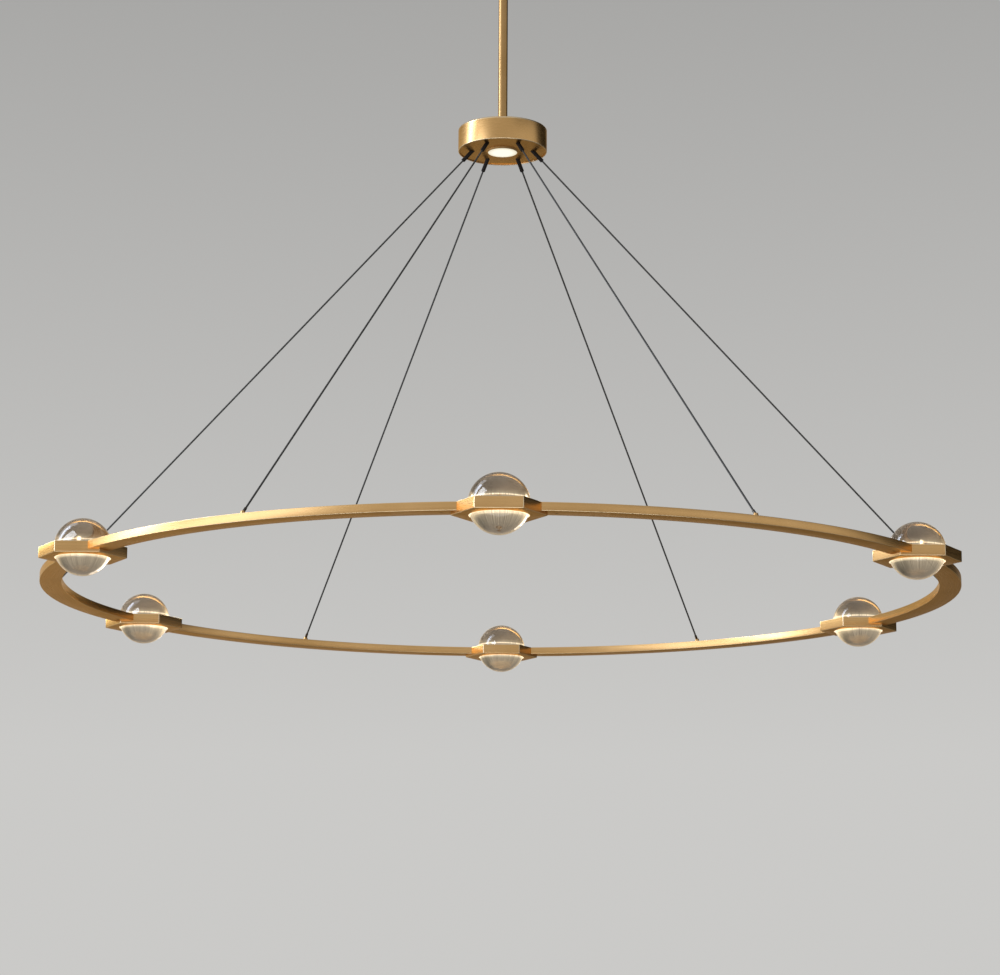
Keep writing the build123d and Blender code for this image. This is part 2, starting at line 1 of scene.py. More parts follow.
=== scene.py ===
from functools import partial
from math import cos, exp, hypot, pi, radians, sin, sqrt

import bmesh
import bpy
from bpy.props import FloatProperty, FloatVectorProperty, IntProperty, PointerProperty
from mathutils import Matrix, Vector


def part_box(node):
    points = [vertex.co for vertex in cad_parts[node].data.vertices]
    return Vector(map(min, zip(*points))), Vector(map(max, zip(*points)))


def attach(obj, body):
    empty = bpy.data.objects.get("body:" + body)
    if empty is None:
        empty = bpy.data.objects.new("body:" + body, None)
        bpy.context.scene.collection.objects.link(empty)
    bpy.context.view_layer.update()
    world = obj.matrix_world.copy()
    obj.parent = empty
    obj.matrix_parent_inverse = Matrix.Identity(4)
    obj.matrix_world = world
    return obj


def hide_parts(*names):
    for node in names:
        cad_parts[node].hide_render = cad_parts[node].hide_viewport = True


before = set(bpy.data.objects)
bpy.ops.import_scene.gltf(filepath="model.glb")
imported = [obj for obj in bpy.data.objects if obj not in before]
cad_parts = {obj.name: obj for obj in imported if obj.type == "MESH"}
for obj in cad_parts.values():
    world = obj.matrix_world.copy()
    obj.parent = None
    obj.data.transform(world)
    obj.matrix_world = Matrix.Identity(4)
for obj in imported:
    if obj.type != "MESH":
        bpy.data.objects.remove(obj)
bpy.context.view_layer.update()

bl_info = {
    "name": "Ring chandelier",
    "version": (1, 0, 0),
    "blender": (4, 5, 0),
    "location": "3D View > Sidebar > Chandelier",
    "description": "Dresses a brass ring chandelier with six lit crystal balls",
    "category": "Object",
}

MM = 0.001
PENDANT = "pendant"

# Lights and bars take turns round the ring, from the light nearest the camera
LIGHT_COUNT = 6
NUMBERS = range(1, LIGHT_COUNT + 1)
STEP = 2 * pi / LIGHT_COUNT
FIRST_LIGHT = -pi / 2
FIRST_BAR = FIRST_LIGHT + STEP / 2
HALF_SIDE = pi / 6  # half of the angle that a hexagon's side spans

# Distances that count as none, room between fitted pieces, and angles between faces
NEAR = 1e-5
MERGED = NEAR / 10
FIT = 0.05 * MM
SMOOTH_ANGLE = radians(32)
CORNER_ANGLE = radians(45)

# Steps of a turn
BAR_STEPS = 72
HEXAGON_STEPS = 96
BALL_STEPS_UP = 200
BALL_STEPS_ROUND = 180
STEPS_PER_LED = 6
HUB_STEPS = 160
STEM_STEPS = 64
LENS_STEPS = 96
SLEEVE_STEPS = 32
FLOOR_STEPS = 128

# Mesh layers that the finishes read
EDGE_LAYER = "edge"
SPOT_LAYER = "spot"
GROUND_LAYER = "ground"
GLOW_LAYER = "glow"
AROUND_LAYER = "around"

# Shares of light and grinding over a ball
CAP_GROUND = 0.3
GIRDLE_GLOW = 0.19
UPPER_SHARE = 0.3
LINE_GLOW = 0.3
HALO_GLOW = 0.05
VEIL_GLOW = 0.08
SPARK_ANGLES = (pi / 3, -pi / 3)

# Brushing of the metals, and how dark the tube is beside the plate, partly an aged tone and partly painted
# shade
BRUSH_FINENESS, BRUSH_LENGTH = 2400.0, 5.0
TUBE_SHADE = 0.68

# Points of the lens's face, as shares of its radius and of its rise
LENS_FACE = ((0.0, 0.0), (0.4, 0.16), (0.75, 0.56), (1.0, 1.0))


def size(name, description, default):
    """Length in metres."""
    return FloatProperty(
        name=name, description=description, default=default, min=0.0, unit="LENGTH", subtype="DISTANCE"
    )


def tone(name, description, default):
    """Colour of a finish, a light or the stage."""
    return FloatVectorProperty(
        name=name, description=description, default=default, size=3, min=0.0, max=1.0, subtype="COLOR"
    )


class RingSizes(bpy.types.PropertyGroup):
    """Sizes of the ring, its hexagons and their balls."""

    radius: size("Ring radius", "From the middle of the ring to the middle of its bar", 744.0 * MM)
    bar_width: size("Bar width", "Width of the bar, across the ring", 36.0 * MM)
    bar_height: size("Bar height", "Height of the bar", 12.7 * MM)
    bar_edge: size("Bar edge", "Rounding of the bar's long edges", 0.6 * MM)
    butt_gap: size("Butt gap", "Gap between a bar's end and the hexagon", 0.05 * MM)
    hex_side: size("Hexagon side", "Length of one side of the hexagon", 68.93 * MM)
    hex_height: size("Hexagon height", "Height of the hexagon", 17.3 * MM)
    hex_edge: size("Hexagon edge", "Rounding of the hexagon's edges", 0.7 * MM)
    ball_radius: size("Ball radius", "Radius of a crystal ball", 45.0 * MM)
    ball_gap: size("Ball gap", "Room between a ball and its diffuser", 0.3 * MM)
    channel_radius: size("Channel radius", "Bore round the ball that holds the LEDs", 50.0 * MM)
    ledge_radius: size("Ledge radius", "Seat of the diffuser", 53.0 * MM)
    diffuser_height: size("Diffuser height", "Thickness of the diffuser", 2.5 * MM)
    diffuser_edge: size("Diffuser edge", "Rounding of the diffuser's outer rim", 0.3 * MM)
    diffuser_bore_edge: size("Diffuser bore edge", "Rounding of the diffuser's inner rim", 1.0 * MM)
    lip_height: size("Lip height", "Thickness of the lip that carries the ball", 3.0 * MM)
    lip_radius: size("Lip radius", "Bore of the lip under the ball", 43.47 * MM)
    seat_height: size("Seat height", "Silicone seat above the lip", 3.5 * MM)
    line_height: size("Line height", "Lit line above the ball's middle", 5.6 * MM)
    line_width: size("Line width", "Half the width of the lit line", 1.7 * MM)
    spark_size: size("Spark size", "Spread of the light of the two brightest LEDs", 1.9 * MM)
    girdle_top: size("Girdle top", "Top of the ground band, below the ball's middle", 6.0 * MM)
    girdle_bottom: size("Girdle bottom", "Bottom of the ground band, below the ball's middle", 17.0 * MM)
    girdle_fade: size("Girdle fade", "Half the width over which the band's top fades out", 2.0 * MM)
    cap_fade: size("Cap fade", "How far below the ground band its grinding fades out", 5.0 * MM)
    halo_height: size("Halo height", "How far the lit line spreads upwards", 9.0 * MM)
    veil_depth: size("Veil depth", "How far the band's light spreads into the lower cap", 26.0 * MM)
    strip_height: size("Strip height", "Height of the LED strip", 6.0 * MM)
    strip_thickness: size("Strip thickness", "Thickness of the LED strip", 1.5 * MM)
    led_length: size("LED length", "Length of one LED along its strip", 3.5 * MM)
    led_height: size("LED height", "Height of one LED", 2.8 * MM)
    led_depth: size("LED depth", "How far one LED stands off its strip", 0.9 * MM)
    led_count: IntProperty(name="LEDs", description="LEDs round each ball", default=18, min=1)


class HubSizes(bpy.types.PropertyGroup):
    """Sizes of the stem, the hub and its lens."""

    stem_radius: size("Stem radius", "Outer radius of the stem", 8.0 * MM)
    stem_wall: size("Stem wall", "Wall of the stem", 1.5 * MM)
    hub_radius: size("Hub radius", "Outer radius of the hub", 76.5 * MM)
    hub_wall: size("Hub wall", "Wall of the hub", 2.5 * MM)
    hub_roof: size("Hub roof", "Thickness of the hub's top", 4.0 * MM)
    top_round: size("Top rounding", "Rounding of the hub's upper edge", 3.0 * MM)
    rim_round: size("Rim rounding", "Rounding of the hub's lower edge", 1.2 * MM)
    inner_round: size("Inner rounding", "Rounding of the hub's inner lower edge", 0.5 * MM)
    lens_radius: size("Lens radius", "Radius of the lens", 25.0 * MM)
    lens_dome: size("Lens dome", "Rise of the lens face", 0.8 * MM)
    lens_edge: size("Lens edge", "Rounding of the lens's rim", 0.4 * MM)
    flange_width: size("Lens flange width", "Lens's flange past its face", 3.0 * MM)
    flange_height: size("Lens flange height", "Thickness of the lens's flange", 2.0 * MM)
    bezel_width: size("Bezel width", "Width of the trim ring round the lens", 3.4 * MM)


class CableSizes(bpy.types.PropertyGroup):
    """Sizes of the cables and their sleeves."""

    radius: size("Cable radius", "Radius of a cable", 1.5 * MM)
    exit_radius: size("Exit radius", "From the hub's middle to a cable at the plate", 52.5 * MM)
    above_exit: size("Length above the plate", "Cable inside the hub", 21.0 * MM)
    ring_rise: size("Ring rise", "Lower cable end above the bar's top", 4.5 * MM)
    lower_hold: size("Lower hold", "Straight run of cable over its boss", 18.0 * MM)
    sleeve_radius: size("Sleeve radius", "Outer radius of a sleeve", 3.4 * MM)
    sleeve_length: size("Sleeve length", "Sleeve below the plate", 24.0 * MM)
    sleeve_inside: size("Sleeve inside", "Sleeve inside the hub", 14.0 * MM)
    sleeve_edge: size("Sleeve edge", "Rounding of a sleeve's end", 0.8 * MM)


class Finishes(bpy.types.PropertyGroup):
    """Colours of the finishes."""

    brass: tone("Brass", "Brushed brass where it is bright", (0.78, 0.49, 0.215))
    brass_dark: tone("Dark brass", "Brushed brass where it has toned down", (0.61, 0.365, 0.14))
    crystal: tone("Crystal", "Tint of the crystal", (0.53, 0.43, 0.32))
    glow: tone("Glow", "Light of the LEDs", (1.0, 0.83, 0.55))
    lens: tone("Lens", "Light of the lens", (1.0, 0.93, 0.70))
    cable: tone("Cable", "Sheath of the cables", (0.045, 0.046, 0.044))
    sleeve: tone("Sleeve", "Sleeves at the hub", (0.012, 0.010, 0.010))


class StageSizes(bpy.types.PropertyGroup):
    """Floor and surroundings."""

    floor_depth: size("Floor depth", "Floor below the ceiling", 2.75)
    floor_radius: size("Floor radius", "Radius of the round floor", 40.0)
    floor_colour: tone("Floor", "Pale floor", (0.54, 0.475, 0.395))
    backdrop: tone("Backdrop", "Pale surroundings", (0.66, 0.655, 0.64))


def place_of(node):
    """Lowest and highest height of a CAD node."""
    low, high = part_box(node)
    return low.z, high.z


HUB_BOTTOM, HUB_TOP = place_of("hub_housing")
PLATE_BOTTOM, PLATE_TOP = place_of("hub_base_plate")[0], place_of("hub_posts")[0]
LENS_BOTTOM = place_of("downlight_lens")[0]
STEM_BOTTOM, STEM_TOP = place_of("stem")
RING_TOP = place_of("arc_bar_1")[1]

# Camera: its place, its yaw, pitch and roll in radians, and its lens and sensor in millimetres
CAMERA_PLACE = (0.0152, -4.6533, RING_TOP - 0.7506)
CAMERA_TURNS = (-0.0036, 0.1954, 0.0050)
CAMERA_LENS, SENSOR_WIDTH = 101.26, 36.0

# Groups of pieces that have lamps of their own, by the start of the pieces' names
LAMP_GROUPS = {"balls": "crystal", "frames": "hexagon"}

# Lamps: place, width and height, power in watts, colour, and the only group lit, or None for everything
LAMP_AIM = Vector((0.0, 0.0, -0.9))
BLUE_WHITE, COOL_WHITE = (0.70, 0.80, 1.0), (0.88, 0.93, 1.0)
LAMPS = {
    "key_lamp": ((-3.3, 0.0, 0.33), (3.4, 0.8), 75.0, BLUE_WHITE, None),
    "side_lamp": ((-3.0, -1.7, -0.85), (2.8, 1.6), 26.0, BLUE_WHITE, None),
    "low_lamp": ((0.0, -3.0, -2.68), (4.0, 2.6), 72.0, (1.0, 0.98, 0.95), None),
    "ball_lamp": ((-1.9, 0.0, -0.12), (3.0, 0.7), 16.0, COOL_WHITE, "balls"),
    "glint_lamp": ((-1.6, -1.1, -0.5), (1.4, 0.8), 36.0, COOL_WHITE, "balls"),
    "back_lamp": ((-3.0, 8.0, 2.7), (10.0, 2.2), 700.0, (0.86, 0.93, 1.0), "frames"),
}

# Surroundings, by the way that their light comes from: x to the right, y to the back and z up. A ramp
# gives a low and a high value and the shares that these become. A dim part is where both its ramps rise.
BRIGHT_WAY = (-0.965, -0.24, 0.06)
BRIGHT_RAMP = (0.68, 1.0, 0.9, 1.6)
RIGHT_RAMP = (0.2, 0.8, 1.0, 1.2)
BACK_SLANT = 0.3
DIM_BACK_RIGHT = ((0.2, 0.5, 0.0, 0.96), (0.12, 0.30, 0.0, 1.0))
DIM_UPPER_RIGHT = ((0.25, 0.6, 0.0, 0.6), (0.33, 0.42, 0.0, 1.0))
DIM_UPPER_BACK = ((0.1, 0.6, 0.0, 0.42), (0.1, 0.42, 0.0, 1.0))

# Ramps of the floor's tone: outwards out of a painted shade round the object, from a painted light at the
# left to the right, and into the backdrop's colour
FLOOR_PAINTED_SHADE_OUTWARDS = (3.0, 8.5, 0.52, 0.92)
FLOOR_PAINTED_LIGHT_ACROSS = (-2.0, 2.0, 1.4, 0.6)
FLOOR_HORIZON = (12.0, 36.0, 0.0, 1.0)
FLOOR_GAIN, HORIZON_GAIN = 1.3, 1.4


# Shader nodes


def add_node(tree, kind, inputs=None, **settings):
    """Adds a node, sets it up and fills or links its inputs."""
    made = tree.nodes.new(kind)
    for key, value in settings.items():
        setattr(made, key, value)
    for key, value in (inputs or {}).items():
        if isinstance(value, bpy.types.NodeSocket):
            tree.links.new(value, made.inputs[key])
        else:
            made.inputs[key].default_value = value
    return made


def maths(tree, operation, a, b=0.0):
    return add_node(tree, "ShaderNodeMath", {0: a, 1: b}, operation=operation).outputs[0]


def times(tree, a, b):
    return maths(tree, "MULTIPLY", a, b)


def plus(tree, a, b):
    return maths(tree, "ADD", a, b)


def rest_of(tree, share):
    """What a share leaves of 1."""
    return maths(tree, "SUBTRACT", 1.0, share)


def scaled(tree, value, low, high, to_low, to_high):
    """Value stretched from one range to another, and held inside it."""
    inputs = {0: value, 1: low, 2: high, 3: to_low, 4: to_high}
    return add_node(tree, "ShaderNodeMapRange", inputs).outputs[0]


def from_noise(tree, value, to_low, to_high):
    """Noise, most of which lies between 0.3 and 0.7, stretched to a range."""
    return scaled(tree, value, 0.3, 0.7, to_low, to_high)


def mixed(tree, factor, a, b):
    """Colour between a and b."""
    inputs = {0: factor, 6: a, 7: b}
    return add_node(tree, "ShaderNodeMix", inputs, data_type="RGBA").outputs[2]


def noise(tree, vector, scale, detail=2.0):
    inputs = {"Vector": vector, "Scale": scale, "Detail": detail}
    return add_node(tree, "ShaderNodeTexNoise", inputs).outputs[0]


def bump(tree, height, strength, distance):
    inputs = {"Height": height, "Strength": strength, "Distance": distance}
    return add_node(tree, "ShaderNodeBump", inputs).outputs[0]


def coordinates(tree, kind="Object"):
    return add_node(tree, "ShaderNodeTexCoord").outputs[kind]


def split(tree, vector):
    """The three parts of a vector."""
    return add_node(tree, "ShaderNodeSeparateXYZ", {0: vector}).outputs


def length_of(tree, vector):
    return add_node(tree, "ShaderNodeVectorMath", {0: vector}, operation="LENGTH").outputs["Value"]


def layer(tree, name, kind="Fac"):
    """What a mesh layer says at each point."""
    return add_node(tree, "ShaderNodeAttribute", attribute_name=name).outputs[kind]


def rgba(colour, share=1.0):
    return (*(c * share for c in colour), 1.0)


def new_group(name, inputs, outputs):
    """Shader node group with named number inputs and number outputs."""
    tree = bpy.data.node_groups.new(name, "ShaderNodeTree")
    for label, default in inputs:
        socket = tree.interface.new_socket(label, in_out="INPUT", socket_type="NodeSocketFloat")
        socket.default_value = default
    for label in outputs:
        tree.interface.new_socket(label, in_out="OUTPUT", socket_type="NodeSocketFloat")
    return tree, tree.nodes.new("NodeGroupInput"), tree.nodes.new("NodeGroupOutput")


def brushed_lines():
    """Fine lines round the Z axis, and soft clouds of tone, from Object coordinates."""
    if "Brushed lines" in bpy.data.node_groups:
        return bpy.data.node_groups["Brushed lines"]
    inputs = (("Fineness", BRUSH_FINENESS), ("Length", BRUSH_LENGTH))
    tree, given, out = new_group("Brushed lines", inputs, ("Lines", "Clouds"))
    place = coordinates(tree)
    x, y, height = split(tree, place)
    radius = maths(tree, "SQRT", plus(tree, times(tree, x, x), times(tree, y, y)))
    upward = maths(tree, "ABSOLUTE", split(tree, coordinates(tree, "Normal"))[2])
    flat = maths(tree, "GREATER_THAN", upward, 0.7)
    across = plus(tree, times(tree, radius, flat), times(tree, height, rest_of(tree, flat)))
    wide = [times(tree, maths(tree, "DIVIDE", part, radius), given.outputs["Length"]) for part in (x, y)]
    fine = times(tree, across, given.outputs["Fineness"])
    track = add_node(tree, "ShaderNodeCombineXYZ", {0: wide[0], 1: wide[1], 2: fine}).outputs[0]
    tree.links.new(noise(tree, track, 1.0, 3.0), out.inputs["Lines"])
    tree.links.new(noise(tree, place, 9.0, 3.0), out.inputs["Clouds"])
    return tree


def speckle():
    """Fine even grain with a coarser mottle, for plastics, silicone and crystal."""
    if "Speckle" in bpy.data.node_groups:
        return bpy.data.node_groups["Speckle"]
    tree, given, out = new_group("Speckle", (("Fineness", 900.0),), ("Grain", "Mottle"))
    place = coordinates(tree)
    tree.links.new(noise(tree, place, given.outputs["Fineness"], 2.0), out.inputs["Grain"])
    tree.links.new(noise(tree, place, 60.0, 3.0), out.inputs["Mottle"])
    return tree


# Finishes


def new_material(name):
    """Material with a Principled shader, and its node tree."""
    material = bpy.data.materials.new(name)
    material.use_nodes = True
    tree = material.node_tree
    return material, tree, tree.nodes["Principled BSDF"]


def wire(tree, shader, **sockets):
    """Links or sets shader sockets, named with underscores for spaces."""
    for key, value in sockets.items():
        socket = shader.inputs[key.replace("_", " ")]
        if isinstance(value, bpy.types.NodeSocket):
            tree.links.new(value, socket)
        else:
            socket.default_value = value


def group_node(tree, group, **values):
    """Places a node group with its own values, and gives its outputs."""
    made = add_node(tree, "ShaderNodeGroup", node_tree=group)
    for key, value in values.items():
        made.inputs[key].default_value = value
    return made.outputs


def grainy_material(name, fineness):
    """Material with a Principled shader, its node tree, and a grain and mottle to feed it."""
    material, tree, shader = new_material(name)
    return material, tree, shader, group_node(tree, speckle(), Fineness=fineness)


def brushed_metal(name, bright, dark, rough, wear_and_sheen):
    """Brushed metal: fine lines in tone, roughness and height, paler on rounded edges, partly as wear and
    partly as a painted highlight.
    """
    material, tree, shader = new_material(name)
    lines = group_node(tree, brushed_lines(), Fineness=BRUSH_FINENESS, Length=BRUSH_LENGTH)
    tint = plus(tree, times(tree, lines["Lines"], 0.45), times(tree, lines["Clouds"], 0.55))
    colour = mixed(tree, scaled(tree, tint, 0.34, 0.66, 0.0, 1.0), rgba(dark), rgba(bright))
    # Rounded edges are painted paler: partly wear, partly a painted highlight along them.
    colour = mixed(tree, times(tree, layer(tree, EDGE_LAYER), 0.8), colour, rgba(wear_and_sheen))
    grain = scaled(tree, lines["Lines"], 0.25, 0.75, rough - 0.07, rough + 0.07)
    wire(tree, shader, Base_Color=colour, Roughness=grain, Metallic=1.0,
         Normal=bump(tree, lines["Lines"], 0.12, 0.0002))
    return material, tree, shader


def brushed_brass(name, tones, shade):
    """Brushed brass, with its tones times a shade."""
    bright, dark = ([shade * part for part in tint] for tint in (tones.brass, tones.brass_dark))
    # The last tone is that of the rounded edges: partly wear, partly a painted highlight line.
    material, tree, shader = brushed_metal(name, bright, dark, 0.30, (0.95, 0.80, 0.55))
    wire(tree, shader, Specular_Tint=(1.0, 0.76, 0.44, 1.0))
    return material, tree, shader


def brass_material(tones):
    """Brushed brass under a thin lacquer."""
    material, tree, shader = brushed_brass("brushed_brass", tones, 1.0)
    wire(tree, shader, Coat_Weight=0.05, Coat_Roughness=0.25)
    return material


def tube_material(tones):
    """Drawn brass tube, darker than the plate and bar, partly as an aged tone and partly as painted shade."""
    return brushed_brass("drawn_brass_aged_and_shaded", tones, TUBE_SHADE)[0]


def plain_metal(row, tones):
    """A metal from its row of name, bright and dark tone, roughness and the tone of its rounded edges, partly
    wear and partly painted highlight.
    """
    return brushed_metal(*row)[0]


def moulded(name, dark, pale, fineness, rough, relief, depth):
    """Matt piece, mottled from a dark to a pale tone, with a fine grain."""
    material, tree, shader, grain = grainy_material(name, fineness)
    wire(tree, shader, Base_Color=mixed(tree, grain["Mottle"], rgba(dark), rgba(pale)), Metallic=0.0,
         Roughness=from_noise(tree, grain["Grain"], *rough),
         Normal=bump(tree, grain["Grain"], relief, depth))
    return material, shader


def board_material(tones):
    """Pale solder mask."""
    return moulded("pale_board", (0.78, 0.74, 0.66), (0.88, 0.86, 0.80), 1500.0, (0.35, 0.55), 0.1, 0.0002)[0]


def driver_material(tones):
    """Off-white moulded case."""
    return moulded(
        "pale_moulded_case", (0.72, 0.71, 0.68), (0.82, 0.81, 0.78), 1300.0, (0.4, 0.55), 0.25, 0.0003
    )[0]


def rubber_material(tones):
    """Black moulded sleeve."""
    dark, pale = ([share * part for part in tones.sleeve] for share in (0.6, 1.6))
    material, shader = moulded("black_moulded", dark, pale, 1800.0, (0.5, 0.7), 0.2, 0.0002)
    shader.inputs["Specular IOR Level"].default_value = 0.15
    return material


def crystal_material(tones):
    """Clear crystal, faintly rippled and threaded, ground and lit at the waist."""
    material, tree, shader, grain = grainy_material("clear_crystal", 1400.0)
    place = coordinates(tree)
    threads = noise(tree, place, 70.0, 2.0)
    ripple = noise(tree, place, 55.0, 1.0)
    ground, lit = layer(tree, GROUND_LAYER), layer(tree, GLOW_LAYER)
    streaks = noise(tree, layer(tree, AROUND_LAYER, "Vector"), 22.0, 3.0)
    colour = mixed(tree, scaled(tree, threads, 0.35, 0.7, 0.0, 1.0),
                   rgba(tones.crystal), rgba(tones.crystal, 0.9))
    light = mixed(tree, times(tree, lit, scaled(tree, streaks, 0.35, 0.65, 0.5, 1.5)),
                  rgba(tones.glow, 0.0), rgba(tones.glow))
    rough = times(tree, ground, from_noise(tree, grain["Grain"], 0.14, 0.32))
    cut = plus(tree, grain["Grain"], times(tree, streaks, 2.0))
    height = plus(tree, ripple, times(tree, ground, cut))
    wire(tree, shader, Base_Color=colour, Roughness=rough, Metallic=0.0, IOR=1.52, Specular_IOR_Level=1.0,
         Transmission_Weight=1.0, Emission_Color=light, Emission_Strength=3.0,
         Normal=bump(tree, height, 0.12, 0.001))
    return material


def lens_material(tones):
    """Frosted lens, brightest over its board and yellower to the rim."""
    material, tree, shader, grain = grainy_material("lit_frosted_lens", 1600.0)
    inputs = {0: coordinates(tree), 1: (1.0, 1.0, 0.0)}
    flat = add_node(tree, "ShaderNodeVectorMath", inputs, operation="MULTIPLY").outputs[0]
    fade = scaled(tree, length_of(tree, flat), 0.016, 0.0255, 0.0, 1.0)
    light = mixed(tree, fade, rgba((1.0, 0.97, 0.82)), rgba(tones.lens, 0.72))
    wire(tree, shader, Base_Color=rgba((0.3, 0.29, 0.26)), Metallic=0.0, Emission_Color=light,
         Emission_Strength=0.92, Roughness=from_noise(tree, grain["Grain"], 0.35, 0.5),
         Normal=bump(tree, grain["Grain"], 0.1, 0.0002))
    return material


def diffuser_material(tones):
    """Opal ring lit through its bore, brighter over each LED, with its upward faces painted dark and dimmed:
    a painted shade, seen through the ball as a dark rim.
    """
    material, tree, shader, grain = grainy_material("lit_opal_ring", 1200.0)
    upward = split(tree, coordinates(tree, "Normal"))[2]
    top = scaled(tree, upward, 0.3, 0.7, 0.0, 1.0)
    light = mixed(tree, times(tree, layer(tree, SPOT_LAYER), plus(tree, grain["Mottle"], 0.5)),
                  rgba((0.8, 0.72, 0.6)), rgba((1.0, 0.93, 0.8)))
    # Upward faces are painted dark and their glow dimmed, as painted shade.
    light = mixed(tree, top, light, rgba((0.06, 0.05, 0.03)))
    colour = mixed(tree, top, rgba((0.7, 0.64, 0.54)), rgba((0.15, 0.105, 0.06)))
    wire(tree, shader, Base_Color=colour, Metallic=0.0, Emission_Color=light,
         Emission_Strength=0.36, Roughness=from_noise(tree, grain["Grain"], 0.3, 0.45),
         Normal=bump(tree, grain["Grain"], 0.1, 0.0002))
    return material


def silicone_material(tones):
    """Clear silicone seat, glowing with the light that runs through it."""
    material, tree, shader, grain = grainy_material("lit_silicone", 700.0)
    light = mixed(tree, grain["Mottle"], rgba(tones.glow, 0.5), rgba(tones.glow))
    wire(tree, shader, Base_Color=rgba((0.85, 0.80, 0.70)), Metallic=0.0, Transmission_Weight=0.5,
         Emission_Color=light, Emission_Strength=0.8, IOR=1.41,
         Roughness=from_noise(tree, grain["Grain"], 0.25, 0.4),
         Normal=bump(tree, grain["Grain"], 0.12, 0.0003))
    return material


def led_material(tones):
    """Yellow window of an LED, lit."""
    material, tree, shader, grain = grainy_material("lit_led", 2500.0)
    light = mixed(tree, grain["Grain"], rgba(tones.glow), rgba((1.0, 0.94, 0.80)))
    wire(tree, shader, Base_Color=rgba((0.9, 0.75, 0.35)), Metallic=0.0, Emission_Color=light,
         Emission_Strength=4.0, Roughness=from_noise(tree, grain["Mottle"], 0.3, 0.5))
    return material


def cable_material(tones):
    """Braided dark sheath: two sets of threads crossing round the cable."""
    material, tree, shader = new_material("braided_sheath")
    along, round_it = split(tree, coordinates(tree, "UV"))[:2]
    turns, strands = times(tree, along, 190.0), times(tree, round_it, 8.0)
    threads = []
    for side in (1.0, -1.0):
        phase = plus(tree, times(tree, turns, side), strands)
        threads.append(maths(tree, "SINE", times(tree, phase, 2 * pi)))
    weave = scaled(tree, maths(tree, "MAXIMUM", *threads), -0.3, 1.0, 0.0, 1.0)
    wear_and_sheen = noise(tree, coordinates(tree), 45.0, 2.0)
    shade = mixed(tree, times(tree, weave, wear_and_sheen), rgba(tones.cable, 0.5), rgba(tones.cable, 1.8))
    wire(tree, shader, Base_Color=shade, Metallic=0.0, Roughness=from_noise(tree, wear_and_sheen, 0.5, 0.7),
         Normal=bump(tree, weave, 0.5, 0.0002))
    return material


PLAIN_METALS = {
    "plain_steel": ("zinc_steel", (0.62, 0.62, 0.60), (0.42, 0.42, 0.42), 0.36, (0.8, 0.8, 0.8)),
    "bronze": ("bronze_washer", (0.52, 0.30, 0.14), (0.34, 0.19, 0.085), 0.38, (0.7, 0.48, 0.3)),
    "bare_aluminium": (
        "bare_aluminium_turned", (0.78, 0.78, 0.78), (0.62, 0.62, 0.63), 0.33, (0.9, 0.9, 0.9)
    ),
    "dark_ferrule": (
        "dark_ferrule_metal", (0.13, 0.115, 0.10), (0.06, 0.055, 0.05), 0.40, (0.3, 0.27, 0.24)
    ),
}
FINISHES = {
    "satin_brass": brass_material,
    "crystal": crystal_material,
    "frosted_lens": lens_material,
    "clear_silicone": silicone_material,
    "opal_diffuser": diffuser_material,
    "dark_cable": cable_material,
    "black_sleeve": rubber_material,
    "circuit_board": board_material,
    "driver_case": driver_material,
    **{slot: partial(plain_metal, row) for slot, row in PLAIN_METALS.items()},
}
made_finishes = {}


def finish_for(context, make):
    """A finish's material, made once."""
    if make not in made_finishes:
        made_finishes[make] = make(context.scene.chandelier_finishes)
    return made_finishes[make]


# Mesh pieces


def new_mesh():
    """Empty bmesh with the layers that the finishes read."""
    bm = bmesh.new()
    bm.faces.layers.float.new(EDGE_LAYER)
    for name in (SPOT_LAYER, GROUND_LAYER, GLOW_LAYER):
        bm.verts.layers.float.new(name)
    bm.verts.layers.float_vector.new(AROUND_LAYER)
    return bm


def rectangle(inner, outer, low, high):
    """Corners of a plain ring's section, as radius and height."""
    return (inner, low), (outer, low), (outer, high), (inner, high)


def spin(bm, geom, angle, steps, axis=(0, 0, 1), **how):
    """Spins geometry about an axis through the origin."""
    bmesh.ops.spin(bm, geom=geom, cent=(0, 0, 0), axis=axis, angle=angle, steps=steps, **how)


def spin_round(bm, profile, steps, closed=True):
    """Spins a profile of radius and height points a full turn about the Z axis."""
    verts = [bm.verts.new((radius, 0.0, height)) for radius, height in profile]
    pairs = list(zip(verts, verts[1:] + verts[:1])) if closed else list(zip(verts, verts[1:]))
    edges = [bm.edges.new(pair) for pair in pairs]
    spin(bm, verts + edges, 2 * pi, steps, use_merge=True)
    bmesh.ops.remove_doubles(bm, verts=bm.verts, dist=MERGED)


def round_edges(bm, edges, offset, segments):
    """Bevels edges and marks the new faces, which brushed metal paints paler as wear and as a painted
    highlight.
    """
    made = bmesh.ops.bevel(
        bm, geom=edges, offset=offset, offset_type="OFFSET", segments=segments, profile=0.5,
        affect="EDGES", material=-1, clamp_overlap=True,
    )
    edge_wear_and_sheen = bm.faces.layers.float[EDGE_LAYER]
    for face in made["faces"]:
        face[edge_wear_and_sheen] = 1.0


def rim_edges(bm, radius, height):
    """Edges of the circle of that radius and height about the Z axis."""
    def on_rim(vert):
        return abs(hypot(vert.co.x, vert.co.y) - radius) < NEAR and abs(vert.co.z - height) < NEAR
    return [edge for edge in bm.edges if all(on_rim(vert) for vert in edge.verts)]


def put(bm, place, angle):
    """Moves a mesh from its own axis to its place, and then round the Z axis."""
    bmesh.ops.transform(bm, matrix=place, verts=bm.verts)
    bmesh.ops.rotate(bm, verts=bm.verts, cent=(0, 0, 0), matrix=Matrix.Rotation(angle, 3, "Z"))


def copies_round(bm, count):
    """Repeats the mesh evenly about the Z axis."""
    whole = bm.verts[:] + bm.edges[:] + bm.faces[:]
    spin(bm, whole, 2 * pi * (count - 1) / count, count - 1, use_duplicate=True)


